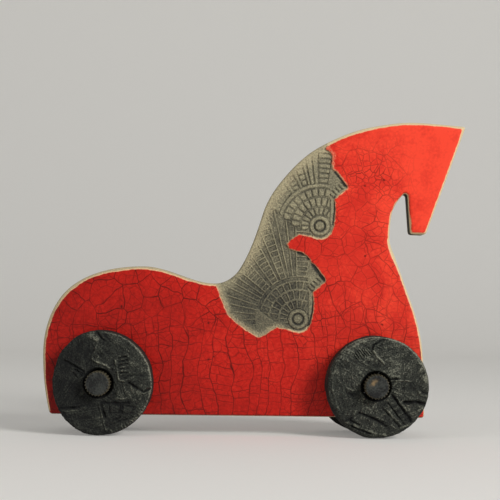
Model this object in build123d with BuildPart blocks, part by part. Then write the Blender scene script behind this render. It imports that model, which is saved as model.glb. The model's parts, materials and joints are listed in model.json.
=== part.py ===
"""Raku-fired clay horse on four wheels.

A thick clay slab cut to a horse's outline, with a red crackle glaze on both faces and a bare stamped mane,
stands on four clay wheels. Each pair of wheels is glued to a fluted beech dowel that turns in the slab.

Frame: +X towards the horse's head, +Y towards its right side, +Z up. The origin is on the floor, under the
middle of the horse's length and thickness. Millimetres.
"""

import os
from math import atan2, degrees

from build123d import *

# Slab and glaze
BODY_LENGTH = 195.0  # rump to forehead tip
SLAB_THICKNESS = 14.4
GLAZE_THICKNESS = 0.8  # each face
RIM_RADIUS = 1.2  # rounded bare edge of the slab
CORNER_RADIUS = 1.6  # outline corners at the forehead, muzzle and belly

# Rump and back: distance from the rump's rearmost point, height above the belly, heading in degrees
TAIL_CORNER = (3.5, 0.0, 105.0)
RUMP_REAR = (0.0, 29.0, 90.0)
RUMP_SHOULDER = (13.0, 59.5, 38.0)
RUMP_TOP = (43.5, 68.9, 0.0)

# Crest, head, throat and chest: distance back from the forehead tip, height above the belly, heading
BACK_DIP = (114.0, 61.5, 2.0)
CREST_FOOT = (104.2, 68.0, 58.0)
CREST_WAIST = (93.6, 94.0, 73.0)
CREST_NAPE = (85.8, 108.4, 52.0)
CREST_SHOULDER = (67.2, 125.6, 29.0)
POLL = (42.2, 135.2, 10.0)
HEAD_TOP = (25.0, 137.3, 0.0)
FOREHEAD_TIP = (-0.6, 135.6, -4.0)  # sharp corner, just past the tip until it is rounded
MUZZLE_FRONT = (17.7, 85.1)
MUZZLE_BACK = (24.9, 85.3)
JAW_TOP = (26.3, 103.0)
NOTCH_RADIUS = 1.2
NOTCH_TURN = 135.0  # degrees, from the jaw round into the throat
THROAT_CURVE = (33.6, 94.5, 258.0)
THROAT = (34.6, 83.1, 270.0)
THROAT_FOOT = (32.3, 75.3, 291.0)
BREAST = (25.1, 55.7, 291.0)
CHEST_FRONT = (18.6, 27.7, 273.0)
CHEST_CORNER = (17.8, 0.0, 270.0)

# Stamped mane: two prints of one block, each placed by the ring at its foot
UPPER_RING = (67.1, 88.6)  # distance back from the forehead tip, height above the belly
LOWER_RING = (76.8, 45.2)
RING_MARGIN = 6.3  # radius of the bare clay round a ring
RING_SWEEP = 135.0  # degrees, how far the glaze line follows that radius
PRINT_WING = (-9.6, -3.9)  # where the glaze line reaches a print, from its ring
PRINT_SIDE = (6.6, 12.4)  # top of the print's straight side, from its ring
PRINT_BARB = (12.6, 18.4)  # pointed corner of the print, from its ring
PRINT_SHOULDER = (6.3, 26.4)  # above the barb, from its ring
PATCH_REAR = (113.2, 57.1)  # the glaze line behind the lower print, from the tip and above the belly
PATCH_CORNER = (109.2, 46.8)
PATCH_FOOT = (95.4, 36.2)
GLAZE_TONGUE = (82.2, 79.6)  # tip of the glaze that runs in between the prints
MANE_TOP = (61.5, 121.5)  # where the glaze line turns back to the crest
CREST_CLEARANCE = 12.0  # how far the bare area is carried past the crest before it is trimmed

# Wheels and axles
WHEEL_DIAMETER = 48.0
WHEEL_WIDTH = 14.0
WHEEL_EDGE_RADIUS = 1.5
WHEEL_SIDE_GAP = 2.0  # between the glaze and the wheel
BORE_FLARE = 1.6  # widened outer mouth of the wheel's bore
BORE_FLARE_DEPTH = 3.0
AXLE_DIAMETER = 12.0
AXLE_PROTRUSION = 6.0  # past the wheel's outer face
AXLE_ABOVE_BELLY = 15.5
REAR_AXLE_INSET = 27.5  # from the rump's rearmost point
FRONT_AXLE_INSET = 41.5  # from the forehead tip
FLUTE_COUNT = 28
FLUTE_RADIUS = 0.35
GLUE_GAP = 0.1  # radial, axle in the wheel
TURNING_GAP = 0.4  # radial, axle in the slab

# Places that follow from the sizes
rear_x = -BODY_LENGTH / 2
front_x = BODY_LENGTH / 2
axle_height = WHEEL_DIAMETER / 2
belly_height = axle_height - AXLE_ABOVE_BELLY
face_depth = SLAB_THICKNESS / 2
glaze_depth = face_depth + GLAZE_THICKNESS
wheel_inner = glaze_depth + WHEEL_SIDE_GAP
wheel_outer = wheel_inner + WHEEL_WIDTH
axle_end = wheel_outer + AXLE_PROTRUSION
axle_places = {"rear": rear_x + REAR_AXLE_INSET, "front": front_x - FRONT_AXLE_INSET}


def from_rump(reach, height, *heading):
    """A point of the outline, by its distance from the rump and its height above the belly."""
    return (rear_x + reach, belly_height + height)


def from_tip(reach, height, *heading):
    """A point of the outline, by its distance back from the forehead tip and its height above the belly."""
    return (front_x - reach, belly_height + height)


def direction(heading):
    """The direction of the outline, by its heading in degrees from straight ahead."""
    return Vector(1, 0).rotate(Axis.Z, heading)


def flowing_line(points, headings):
    """A smooth line through the points, one curve between each two, that keeps their headings."""
    directions = [direction(heading) for heading in headings]
    for start in range(len(points) - 1):
        stretch = slice(start, start + 2)
        Spline(points[stretch], tangents=directions[stretch])


def write(part, label):
    """Labels a finished piece and writes it to its own file."""
    part.label = label
    export_step(part, f"parts/{label}.step")


os.makedirs("parts", exist_ok=True)

# Outline of the slab, drawn from the belly round the rump, over the crest and back down the chest
rump = [TAIL_CORNER, RUMP_REAR, RUMP_SHOULDER, RUMP_TOP]
crest = [BACK_DIP, CREST_FOOT, CREST_WAIST, CREST_NAPE, CREST_SHOULDER]
head = [POLL, HEAD_TOP, FOREHEAD_TIP]
chest = [THROAT_CURVE, THROAT, THROAT_FOOT, BREAST, CHEST_FRONT, CHEST_CORNER]
corners = [from_rump(*TAIL_CORNER)] + [
    from_tip(*corner) for corner in (FOREHEAD_TIP, MUZZLE_FRONT, MUZZLE_BACK, CHEST_CORNER)
]

with BuildSketch(Plane.XZ) as slab_outline:
    with BuildLine():
        Line(from_tip(*CHEST_CORNER), from_rump(*TAIL_CORNER))
        flowing_line(
            [from_rump(*place) for place in rump] + [from_tip(*place) for place in crest + head],
            [heading for reach, height, heading in rump + crest + head],
        )
        Polyline([from_tip(*place) for place in (FOREHEAD_TIP, MUZZLE_FRONT, MUZZLE_BACK)])
        jaw = Line(from_tip(*MUZZLE_BACK), from_tip(*JAW_TOP))
        notch = JernArc(jaw @ 1, jaw % 1, NOTCH_RADIUS, NOTCH_TURN)
        jaw_heading = degrees(atan2(JAW_TOP[1] - MUZZLE_BACK[1], MUZZLE_BACK[0] - JAW_TOP[0]))
        flowing_line(
            [notch @ 1] + [from_tip(*place) for place in chest],
            [jaw_heading + NOTCH_TURN] + [heading for reach, height, heading in chest],
        )
    make_face()
    fillet(
        [slab_outline.vertices().sort_by_distance(corner)[0] for corner in corners],
        radius=CORNER_RADIUS,
    )


def print_border(start, ring):
    """Draws the glaze line from a start point round one print's ring and up its side, to its shoulder."""
    wing, *side = [
        (ring[0] + across, ring[1] + up)
        for across, up in (PRINT_WING, PRINT_SIDE, PRINT_BARB, PRINT_SHOULDER)
    ]
    bulge = CenterArc(ring, RING_MARGIN, -RING_SWEEP, RING_SWEEP)
    Polyline(start, wing, bulge @ 0)
    Polyline(bulge @ 1, *side)
    return side[-1]


# Bare area of the mane, which the glaze stops short of
back_dip = from_tip(*BACK_DIP)
nape = from_tip(*CREST_NAPE)
mane_top = from_tip(*MANE_TOP)
patch = [from_tip(*place) for place in (PATCH_REAR, PATCH_CORNER, PATCH_FOOT)]

with BuildSketch(Plane.XZ) as bare_mane:
    with BuildLine():
        Polyline(back_dip, *patch)
        lower_shoulder = print_border(patch[-1], from_tip(*LOWER_RING))
        Line(lower_shoulder, from_tip(*GLAZE_TONGUE))
        upper_shoulder = print_border(from_tip(*GLAZE_TONGUE), from_tip(*UPPER_RING))
        Polyline(
            upper_shoulder,
            mane_top,
            (mane_top[0] - CREST_CLEARANCE / 2, mane_top[1] + CREST_CLEARANCE),
            (nape[0] - 2 * CREST_CLEARANCE, nape[1]),
            (back_dip[0], back_dip[1] + CREST_CLEARANCE),
            back_dip,
        )
    make_face()

# Clay slab with a rounded rim and two plain holes that the axles turn in
with BuildPart() as body_slab:
    with BuildSketch(Plane.XZ.offset(-face_depth)):
        add(slab_outline.sketch_local)
        with Locations(*[(axle_x, axle_height) for axle_x in axle_places.values()]):
            Circle(AXLE_DIAMETER / 2 + TURNING_GAP, mode=Mode.SUBTRACT)
    extrude(amount=SLAB_THICKNESS)
    for face in body_slab.faces().filter_by(Axis.Y):
        fillet(face.outer_wire().edges(), radius=RIM_RADIUS)
write(body_slab.part, "body_slab")

# Glaze on the near face, which stops at the rounded rim, the axle holes and the bare mane
with BuildPart() as near_glaze:
    extrude(body_slab.faces().sort_by(Axis.Y)[0], amount=GLAZE_THICKNESS)
    with BuildSketch(Plane.XZ.offset(face_depth)):
        add(bare_mane.sketch_local)
    extrude(amount=GLAZE_THICKNESS, mode=Mode.SUBTRACT)
write(near_glaze.part, "near_glaze")

# Glaze on the far face
with BuildPart() as far_glaze:
    mirror(near_glaze.part, about=Plane.XZ)
write(far_glaze.part, "far_glaze")

# Axle dowels with glue flutes, and the wheels on their ends
for pair, axle_x in axle_places.items():
    axle_plane = Plane(origin=(axle_x, 0, axle_height), x_dir=(1, 0, 0), z_dir=(0, -1, 0))

    with BuildPart() as axle:
        with BuildSketch(axle_plane):
            Circle(AXLE_DIAMETER / 2)
            with PolarLocations(AXLE_DIAMETER / 2, FLUTE_COUNT):
                Circle(FLUTE_RADIUS, mode=Mode.SUBTRACT)
        extrude(amount=axle_end, both=True)
    write(axle.part, f"{pair}_axle")

    with BuildPart() as near_wheel:
        with BuildSketch(axle_plane.offset(wheel_inner)):
            Circle(WHEEL_DIAMETER / 2)
        extrude(amount=WHEEL_WIDTH)
        fillet(near_wheel.edges().filter_by(GeomType.CIRCLE), radius=WHEEL_EDGE_RADIUS)
        with BuildSketch(axle_plane.offset(wheel_inner)):
            Circle(AXLE_DIAMETER / 2 + GLUE_GAP)
        extrude(amount=WHEEL_WIDTH, mode=Mode.SUBTRACT)
        bore_mouth = near_wheel.edges().filter_by(GeomType.CIRCLE).sort_by(Axis.Y).group_by(Axis.Y)[0]
        chamfer(bore_mouth.sort_by(SortBy.RADIUS)[0], length=BORE_FLARE_DEPTH, length2=BORE_FLARE)
    write(near_wheel.part, f"near_{pair}_wheel")

    with BuildPart() as far_wheel:
        mirror(near_wheel.part, about=Plane.XZ)
    write(far_wheel.part, f"far_{pair}_wheel")
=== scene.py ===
"""Looks of a raku clay horse on four wheels, laid out as an add-on and run as a script.

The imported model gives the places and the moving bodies. Each operator makes one piece, or one group of like
pieces, that stands for its CAD nodes. Shapes are worked out in millimetres, and their meshes are in metres.
"""

import json
from math import pi, radians

import bpy
import numpy as np
from bpy.props import FloatProperty, FloatVectorProperty, PointerProperty
from bpy.types import Operator, Panel, PropertyGroup
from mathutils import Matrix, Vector
from mathutils.geometry import delaunay_2d_cdt


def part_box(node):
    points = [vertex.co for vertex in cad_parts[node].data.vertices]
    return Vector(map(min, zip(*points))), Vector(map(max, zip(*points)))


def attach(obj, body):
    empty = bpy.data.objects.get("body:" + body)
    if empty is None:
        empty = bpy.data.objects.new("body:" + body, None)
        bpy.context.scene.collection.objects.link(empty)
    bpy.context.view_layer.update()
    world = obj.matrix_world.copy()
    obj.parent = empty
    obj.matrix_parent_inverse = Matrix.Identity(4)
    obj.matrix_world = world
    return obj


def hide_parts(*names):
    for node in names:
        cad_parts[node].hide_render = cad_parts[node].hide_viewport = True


bl_info = {
    "name": "Raku Horse on Wheels",
    "version": (1, 0, 0),
    "blender": (4, 5, 0),
    "location": "View3D > Sidebar > Raku Horse",
    "description": "Builds a slab-cut raku horse with a stamped mane, red crackle glaze and clay wheels",
    "category": "Add Mesh",
}

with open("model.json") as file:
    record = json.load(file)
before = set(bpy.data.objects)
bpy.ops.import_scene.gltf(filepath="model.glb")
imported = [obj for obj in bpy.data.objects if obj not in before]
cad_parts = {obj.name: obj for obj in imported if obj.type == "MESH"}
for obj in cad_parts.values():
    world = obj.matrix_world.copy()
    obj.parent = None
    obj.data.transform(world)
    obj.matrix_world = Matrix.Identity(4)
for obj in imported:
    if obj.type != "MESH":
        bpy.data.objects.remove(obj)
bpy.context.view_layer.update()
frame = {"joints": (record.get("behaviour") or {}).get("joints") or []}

MM = 0.001
BLOCK = 3000000  # pairs of a point and a step of a line that are worked on at a time
LATTICE = 64  # random values along each side of the lattice for uneven surfaces

# Runs of the slab's outline, clockwise from the tail, joined at five corners: across, up, heading in degrees
BACK = (
    (-94.0, 8.5, 105), (-97.5, 37.5, 90), (-84.5, 68.0, 38), (-51.0, 77.4, 0), (-18.0, 69.8, 0),
    (-6.7, 76.5, 58), (3.9, 102.5, 73), (11.7, 116.9, 52), (30.3, 134.1, 29), (55.3, 143.7, 10),
    (72.5, 145.8, 0), (98.1, 144.1, -4),
)
FACE = ((98.1, 144.1, 250.1), (79.8, 93.6, 250.1))
MUZZLE = ((79.8, 93.6, 178.4), (72.6, 93.8, 178.4))
THROAT = (
    (72.6, 93.8, 94.5), (71.2, 111.5, 94.5), (70.4, 112.5, 162), (69.1, 112.2, 229.5), (63.9, 103.0, 258),
    (62.9, 91.6, 270), (65.2, 83.8, 291), (72.4, 64.2, 291), (78.9, 36.2, 273), (79.7, 8.5, 270),
)
BELLY = ((79.7, 8.5, 180), (-94.0, 8.5, 180))
CORNER = 1.6  # how far each corner is cut back before it is rounded
RIM_RADIUS = 1.2
FACE_DEPTH = 7.2  # from the middle plane to the clay's flat face
GLAZE_SET_IN = 0.25  # how far the glaze's edge is below the clay's face
GLAZE_ROOT = 0.9  # how far the glaze's inner side is below it
SLAB_SPACING, MANE_SPACING, GLAZE_SPACING = 2.5, 0.29, 1.6  # of the points that shape each surface
RIM_WIDTHS = (  # share of the way round from the tail, width of clay left bare there
    (0.0, 0.4), (0.043, 0.75), (0.096, 1.1), (0.12, 1.05), (0.15, 0.95), (0.18, 0.75), (0.203, 0.6),
    (0.338, 1.0), (0.374, 0.9), (0.401, 0.75), (0.43, 0.6), (0.44, 1.0), (0.45, 0.5), (0.515, 0.45),
    (0.53, 0.3), (0.565, 0.2), (0.598, 0.45), (0.607, 1.0), (0.613, 1.0), (0.622, 0.5), (0.69, 0.45),
    (0.73, 0.2), (1.0, 0.15),
)

# Glaze line round the bare mane, from the dip of the back to the crest
LOWER_RING = (20.7, 53.7)
UPPER_RING = (30.4, 97.1)
PATCH_LINE = (
    (-17.6, 69.9), (-16.0, 65.6), (-13.2, 58.6), (-11.7, 55.3), (-7.5, 51.6), (-3.2, 48.4), (0.6, 46.1),
    (2.5, 44.9), (4.8, 46.1), (7.6, 48.1),
)
PRINT_LINE = (  # from the print's ring
    (-9.7, -3.8), (-4.5, -4.9), (-1.5, -6.0), (1.0, -6.2), (3.4, -5.3), (5.3, -3.2), (6.3, -0.2),
    (6.9, 3.5), (7.2, 7.5), (6.6, 12.7), (12.4, 17.6), (12.6, 18.6), (7.6, 25.3), (5.9, 26.3),
)
TONGUE_LINE = (
    (25.9, 81.7), (24.5, 83.3), (22.1, 84.7), (19.0, 85.4), (16.1, 86.4), (15.1, 88.7), (16.5, 90.3),
)
TOP_LINE = ((35.5, 126.2), (35.9, 129.9), (34.9, 131.4), (32.6, 132.8), (33.4, 135.6))
CREST_CORNER = (36.0, 131.0)  # corner of the glaze below the crest
SMOKE_CENTRE = (6.0, 57.0)  # of the smoke about the lower print

# Painted shadows that the glaze's step casts on the clay beside the prints: half width, points of the line
PAINTED_GLAZE_SHADOWS = (
    (0.85, ((27.7, 79.0), (32.8, 72.3))), (0.5, ((20.9, 84.7), (24.8, 83.7), (25.5, 81.8))),
    (0.35, ((37.2, 122.3), (42.6, 115.7))), (0.3, ((37.3, 111.0), (37.2, 105.0), (36.5, 98.0))),
    (0.3, ((27.6, 67.0), (27.7, 62.0), (27.3, 57.0), (25.8, 51.0))),
)

# Mane block, in rings about its own ring: inner reach, outer reach, degrees from line to line
FAN_BANDS = ((5.1, 8.9, 17.0), (9.2, 13.5, 13.5), (13.8, 17.6, 11.0), (17.7, 19.9, 360.0))
FAN_START = 60.0
FAN_REACH = 20.0  # where the rays begin
FAN_SIDE = 4.4  # how far the fan's straight side is from the centre
RING_REACH = 5.1
BARB = PRINT_LINE[9]  # foot of the barb
SLIT_PITCH = 1.9
LEVEL = 0.75  # height of the block's plain ground
PLAIN = 99  # pitch that stands for no rungs
RAYS = (  # outside the fan: degrees of each ray's first side, pitch of its rungs, where a plain ray has none
    (80, 2.3), (92, PLAIN), (97.5, PLAIN), (103, PLAIN), (107, 2.7), (114, PLAIN), (118.5, 2.1),
    (127, PLAIN), (132, 2.1), (141, PLAIN), (146, PLAIN), (151, PLAIN), (156, PLAIN), (162, PLAIN),
    (168, PLAIN), (174, PLAIN), (181, PLAIN), (188, PLAIN), (196, PLAIN), (204, PLAIN),
)

# Marks on the wheels' faces, from the wheel's centre: rise, half width, points of the line
REAR_STROKES = (
    (0.55, 0.7, ((-3.6, 22.4), (-0.6, 19.6))), (0.3, 0.9, ((-5.0, 21.6), (-1.8, 20.2))),
    (-0.9, 0.5, ((-1.0, 23.2), (2.2, 19.4))), (0.3, 0.35, ((0.5, 22.6), (2.5, 20.0))),
    (0.25, 0.4, ((-0.2, 18.6), (-1.5, 15.2), (-2.6, 12.0))),
    (0.7, 0.5, ((-2.8, 11.4), (-1.4, 9.8), (0.9, 8.8), (3.6, 7.9), (5.3, 6.9))),
    (0.35, 0.25, ((0.6, 15.5), (1.5, 14.5), (0.6, 13.5), (-0.3, 14.5), (0.6, 15.5))),
    (0.35, 0.25, ((-0.6, 12.9), (0.3, 12.0), (-0.6, 11.1), (-1.5, 12.0), (-0.6, 12.9))),
    (-0.9, 0.45, ((-16.4, 10.5), (-11.5, 8.2), (-7.1, 5.4))), (-0.4, 0.3, ((-11.5, 6.4), (-7.1, 4.0))),
    (-0.4, 0.3, ((-11.9, 4.7), (-9.2, 2.0))), (-0.4, 0.3, ((-10.2, 6.1), (-7.8, 3.4))),
    (0.3, 0.4, ((-11.2, 1.3), (-6.9, 2.8))), (0.3, 0.3, ((6.0, 12.3), (8.0, 12.5))),
    (0.55, 0.42, ((7.8, 10.8), (8.5, 5.4), (9.4, 1.3), (11.0, 1.0))),
    (0.32, 0.45, ((11.0, 1.0), (14.1, 2.4), (20.1, 5.7))),
    (-0.9, 0.5, ((13.7, 0.2), (16.8, -1.7), (20.4, -3.7), (23.0, -2.4))),
    (0.4, 0.35, ((11.0, -0.3), (13.6, -0.5), (16.5, -2.6), (20.2, -4.6), (22.8, -3.5))),
    (0.4, 0.5, ((7.7, -6.4), (12.4, -7.1))), (-0.7, 0.45, ((1.3, -8.9), (13.7, -8.9))),
    (-0.35, 0.3, ((5.0, -9.8), (10.0, -9.8), (10.0, -13.1), (5.2, -13.4), (5.0, -9.8))),
    (-0.35, 0.3, ((10.8, -9.8), (15.6, -10.2), (15.4, -13.2), (10.9, -13.4), (10.8, -9.8))),
    (-0.35, 0.3, ((4.6, -17.2), (10.4, -15.2))), (-0.35, 0.3, ((5.6, -18.6), (16.0, -14.8))),
    (0.6, 0.38, ((0.6, -9.1), (2.0, -15.2), (4.0, -21.5))), (-0.6, 0.5, ((1.6, -10.1), (3.3, -15.2))),
    (0.5, 0.6, ((-16.9, -13.6), (-9.5, -12.5))), (-0.8, 0.45, ((-19.2, -12.6), (-8.8, -11.1))),
    (0.5, 0.55, ((22.0, -7.8), (22.3, -8.2))), (0.5, 0.55, ((18.9, -14.6), (19.3, -14.3))),
)
REAR_HATCHES = (  # rise, half width, first foot, last foot, bar, count
    (0.3, 0.28, (9.2, 12.3), (9.7, 3.7), (3.4, 0.6), 6),
    (-0.4, 0.28, (9.2, 11.4), (9.7, 4.6), (3.4, 0.6), 5),
    (0.4, 0.33, (6.0, -21.2), (15.6, -16.6), (0.7, -1.5), 9),
    (0.4, 0.33, (16.6, -15.6), (20.6, -10.0), (1.4, -1.0), 6),
)
REAR_BLOCKS = (  # rise, corners of the plate
    (0.18, ((-16.9, -13.8), (-9.5, -12.6), (-8.0, -10.5), (0.3, -10.3), (3.6, -21.5), (-1.0, -24.0),
        (-9.5, -21.5))),
    (0.16, ((11.2, -0.6), (13.6, -0.9), (19.8, -5.0), (19.4, -7.6), (8.0, -7.4), (8.4, -3.0))),
    (0.12, ((13.2, 12.4), (19.0, 9.0), (20.0, 6.0), (13.0, 2.8))),
    (-0.18, ((-3.2, 20.0), (-1.5, 15.0), (-2.9, 11.4), (-5.5, 6.8), (-16.0, 10.8), (-13.0, 15.5),
        (-8.0, 19.5))),
)
FRONT_STROKES = (
    (0.7, 0.42, ((-1.9, 16.7), (1.0, 13.0), (3.4, 10.3))),
    (-0.9, 0.45, ((-1.9, 17.0), (-1.5, 18.9), (1.0, 21.0), (3.7, 22.7))),
    (0.6, 0.9, ((19.5, 10.9), (19.8, 10.7))), (0.6, 0.9, ((20.2, 7.6), (20.4, 7.3))),
    (0.6, 0.8, ((21.0, 4.9), (21.2, 4.6))), (0.5, 0.6, ((22.0, 2.9), (22.1, 2.6))),
    (0.45, 0.55, ((5.1, 5.2), (9.8, 4.5))), (-0.6, 0.35, ((6.1, 3.2), (9.4, 3.2))),
    (0.55, 0.35, ((6.5, 2.5), (16.2, 2.5))), (0.25, 0.35, ((5.4, 8.2), (8.8, 7.9))),
    (0.6, 0.42, ((18.5, -1.5), (19.9, -3.5), (23.0, -4.5))), (0.5, 0.4, ((20.9, -1.2), (23.2, 0.5))),
    (-0.7, 0.5, ((20.9, -2.5), (23.3, -3.2))), (-1.3, 0.55, ((12.8, -7.2), (17.2, -6.9), (21.9, -7.7))),
    (-0.9, 0.5, ((7.1, -3.5), (9.8, -7.2), (12.8, -11.6), (16.0, -15.6))),
    (0.4, 0.45, ((9.4, -5.2), (13.4, -10.3))), (0.3, 0.35, ((3.4, -9.3), (12.0, -17.8))),
    (-0.5, 0.35, ((3.0, -10.3), (10.8, -18.3))), (0.3, 0.4, ((-1.0, -13.0), (9.4, -18.7))),
    (-0.5, 0.35, ((5.4, -7.6), (12.8, -17.0))), (-0.9, 0.45, ((-7.7, -12.0), (-1.0, -14.6), (4.4, -18.0))),
    (-0.5, 0.4, ((-13.8, -16.3), (-7.7, -12.0))),
    (0.55, 0.55, ((-14.0, -16.7), (-4.4, -19.9), (4.2, -22.6))),
    (-0.8, 0.35, ((-11.8, -15.7), (-7.7, -17.3))), (-0.8, 0.45, ((-11.1, -18.4), (-2.4, -21.4))),
    (0.4, 0.45, ((11.1, -18.7), (17.5, -16.0))), (0.5, 0.4, ((-13.1, -1.2), (-11.1, -1.9), (-8.4, -1.9))),
    (-0.5, 0.5, ((-12.4, -3.5), (-10.5, -4.5))),
    (0.3, 0.45, ((-16.5, 14.5), (-19.5, 9.5), (-20.4, 4.0), (-20.4, -1.5), (-19.0, -7.0), (-16.6, -12.0))),
    (0.3, 0.45, ((-13.6, 17.0), (-8.0, 20.6), (-1.8, 22.4))),
)
FRONT_HATCHES = (
    (-0.25, 0.3, (-11.4, 15.3), (-4.0, 18.0), (2.4, -3.0), 8),
    (0.2, 0.28, (-10.9, 15.5), (-4.5, 17.8), (2.4, -3.0), 7),
    (-0.35, 0.3, (-18.5, 9.5), (-15.0, 12.0), (1.6, -2.0), 4),
    (-0.35, 0.3, (0.2, 18.0), (3.0, 20.8), (1.8, -1.2), 4),
    (-0.3, 0.3, (6.4, -7.2), (12.4, -15.6), (2.0, 1.4), 5),
)
FRONT_BLOCKS = (
    (0.28, ((13.1, -8.2), (21.6, -8.4), (21.4, -10.2), (17.6, -15.2), (15.4, -14.2))),
    (0.2, ((-13.8, -16.6), (-7.7, -12.5), (-1.2, -15.2), (4.6, -18.8), (5.5, -21.4), (3.8, -22.6),
        (-4.4, -19.8))),
)
WHEEL_MARKS = {
    "rear": (REAR_STROKES, REAR_HATCHES, REAR_BLOCKS),
    "front": (FRONT_STROKES, FRONT_HATCHES, FRONT_BLOCKS),
}
FLATS = {  # how far each hand-cut wheel is out of round: degrees, depth, which is negative for a high side
    "near_rear": ((180, 2.9), (0, -0.7)),
    "near_front": ((180, 1.0), (90, 1.1), (0, -0.4)),
    "far_rear": ((90, 0.6),),
    "far_front": ((193, -2.8), (0, 0.8)),
}
BEVEL_WIDTH = 1.3  # of the face's rounded edge where it is sharpest
BEVEL_GROWTH = {"rear": (180.0, 0.5), "front": (20.0, 2.2)}  # degrees of that place, width gained opposite it
PAINTED_LIGHT_SIDE = {"rear": 25.0, "front": 75.0}  # degrees of the side towards the key light, where the face is painted lighter and its edge gets a painted highlight
WHEEL_TONE = {"rear": (0.15, 0.2), "front": (0.39, 0.13)}  # tone of the plain face, gain of the painted light at the lit side

# Places of the axles and the wheels' size come from the frame
JOINTS = {joint["child"]: [round(place / MM, 6) for place in joint["pos_m"]] for joint in frame["joints"]}
AXLES = {pair: JOINTS[f"{pair}_wheelset"][0] for pair in ("rear", "front")}
AXLE_HEIGHT = JOINTS["rear_wheelset"][2]
WHEEL_RADIUS = AXLE_HEIGHT  # the wheels stand on the floor
AXLE_END = round(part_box("rear_axle")[1][1] / MM, 2)
WHEEL_INNER, WHEEL_OUTER = (round(corner[1] / MM, 2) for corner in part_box("far_rear_wheel"))
WHEEL_EDGE = 1.5
WHEEL_COLUMNS = 600
SHOULDER = 4.0  # width of the closely divided ring at the edge of the face
BORE_RADIUS = 6.1
MOUTH_RADIUS = 7.1
MOUTH_DEPTH = 3.0
HOLE_RADIUS = 6.4
HOLE_MARGIN = 0.6  # of bare clay round an axle hole
HOLE_SIDES = 48
FLUTES = 24
FLUTE_DEPTH = 0.55
DOWEL_RADIUS = 5.65  # of the ridges between the flutes

# Floor, lights and camera, in metres and degrees
FLOOR_FRONT, FLOOR_BACK, FLOOR_BEND = -2.0, 0.9, 0.5  # ends of the level part, radius of its bend upwards
FLOOR_TOP, FLOOR_HALF_WIDTH = 2.5, 2.5
LIGHT_TARGET = (0.0, 0.0, 0.07)
CAMERA_PLACE = (-0.0017, -0.73, 0.066)
CAMERA_TURN = (91.55, -0.65, 0.0)


def linear(code):
    """Linear red, green and blue of an sRGB hex colour."""
    shares = [int(code[start:start + 2], 16) / 255 for start in (1, 3, 5)]
    return [share / 12.92 if share <= 0.04045 else ((share + 0.055) / 1.055) ** 2.4 for share in shares]


def paint(name, description, code):
    """Setting for a colour, with an sRGB hex value as its default."""
    return FloatVectorProperty(name=name, description=description, default=linear(code), subtype="COLOR")


def rise(value, low, high):
    """Smooth step from 0 at low to 1 at high: three squares less two cubes of the share between them."""
    share = np.clip((value - low) / (high - low), 0, 1)
    return share * share * (3 - 2 * share)


def bell(distance, width):
    """Bell curve of a distance: e to the power of minus its square, counted in widths."""
    return np.exp(-((distance / width) ** 2))


def unevenness(across, up, size, seed):
    """Smooth random heights from -1 to 1: random values on a square lattice, blended by smooth steps."""
    lattice = np.random.default_rng(seed).uniform(-1, 1, (LATTICE, LATTICE))
    column, row = np.floor(across / size).astype(int), np.floor(up / size).astype(int)
    share, lift = rise(across / size - column, 0, 1), rise(up / size - row, 0, 1)
    left, right, low, high = (index % LATTICE for index in (column, column + 1, row, row + 1))
    bottom = lattice[left, low] * (1 - share) + lattice[right, low] * share
    top = lattice[left, high] * (1 - share) + lattice[right, high] * share
    return bottom * (1 - lift) + top * lift


def distance_to(points, line):
    """Distance from each point to a line: the least over its straight steps, a block of points at a time."""
    line = np.asarray(line, float)
    start, step = line[:-1], np.diff(line, axis=0)
    length = np.maximum((step ** 2).sum(1), 1e-12)
    nearest = []
    for block in np.array_split(points, len(points) * len(line) // BLOCK + 1):
        offset = block[:, None] - start
        share = np.clip((offset * step).sum(2) / length, 0, 1)
        nearest.append(np.sqrt(((offset - share[..., None] * step) ** 2).sum(2).min(1)))
    return np.concatenate(nearest)


def inside(points, loop):
    """Whether each point is inside a loop: a level ray from it crosses the loop an odd number of times."""
    start, end = loop, np.roll(loop, -1, axis=0)
    climb = np.where(end[:, 1] == start[:, 1], 1e-12, end[:, 1] - start[:, 1])
    found = []
    for block in np.array_split(points, len(points) * len(loop) // BLOCK + 1):
        across, up = block[:, :1], block[:, 1:]
        crossing = start[:, 0] + (up - start[:, 1]) / climb * (end[:, 0] - start[:, 0])
        spans = (start[:, 1] > up) != (end[:, 1] > up)
        found.append((spans & (across < crossing)).sum(1) % 2 == 1)
    return np.concatenate(found)


def closed(loop):
    """A loop with its first point again at its end."""
    return np.concatenate((loop, loop[:1]))


def nearest_index(line, place):
    """Which point of a line is nearest to a place."""
    return np.argmin(np.hypot(*(line - place).T))


def evenly(line, step):
    """The same line with its points a step apart, measured along it."""
    way = np.concatenate(([0], np.cumsum(np.hypot(*np.diff(line, axis=0).T))))
    places = np.linspace(0, way[-1], max(int(way[-1] / step), 2) + 1)
    return np.stack((np.interp(places, way, line[:, 0]), np.interp(places, way, line[:, 1])), 1)


def smooth_run(places):
    """Cubic curve through places with headings: Hermite blends of neighbouring points and directions."""
    places = np.asarray(places, float)
    point, heading = places[:, None, :2], np.radians(places[:, 2])
    direction = np.stack((np.cos(heading), np.sin(heading)), 1)[:, None]
    chord = np.linalg.norm(np.diff(point, axis=0), axis=2, keepdims=True)
    share = np.linspace(0, 1, 60)[None, :, None]
    back = 1 - share
    curve = (
        (1 + 2 * share) * back ** 2 * point[:-1]
        + share * back ** 2 * chord * direction[:-1]
        + share ** 2 * (3 - 2 * share) * point[1:]
        - share ** 2 * back * chord * direction[1:]
    )
    return curve.reshape(-1, 2)


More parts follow.
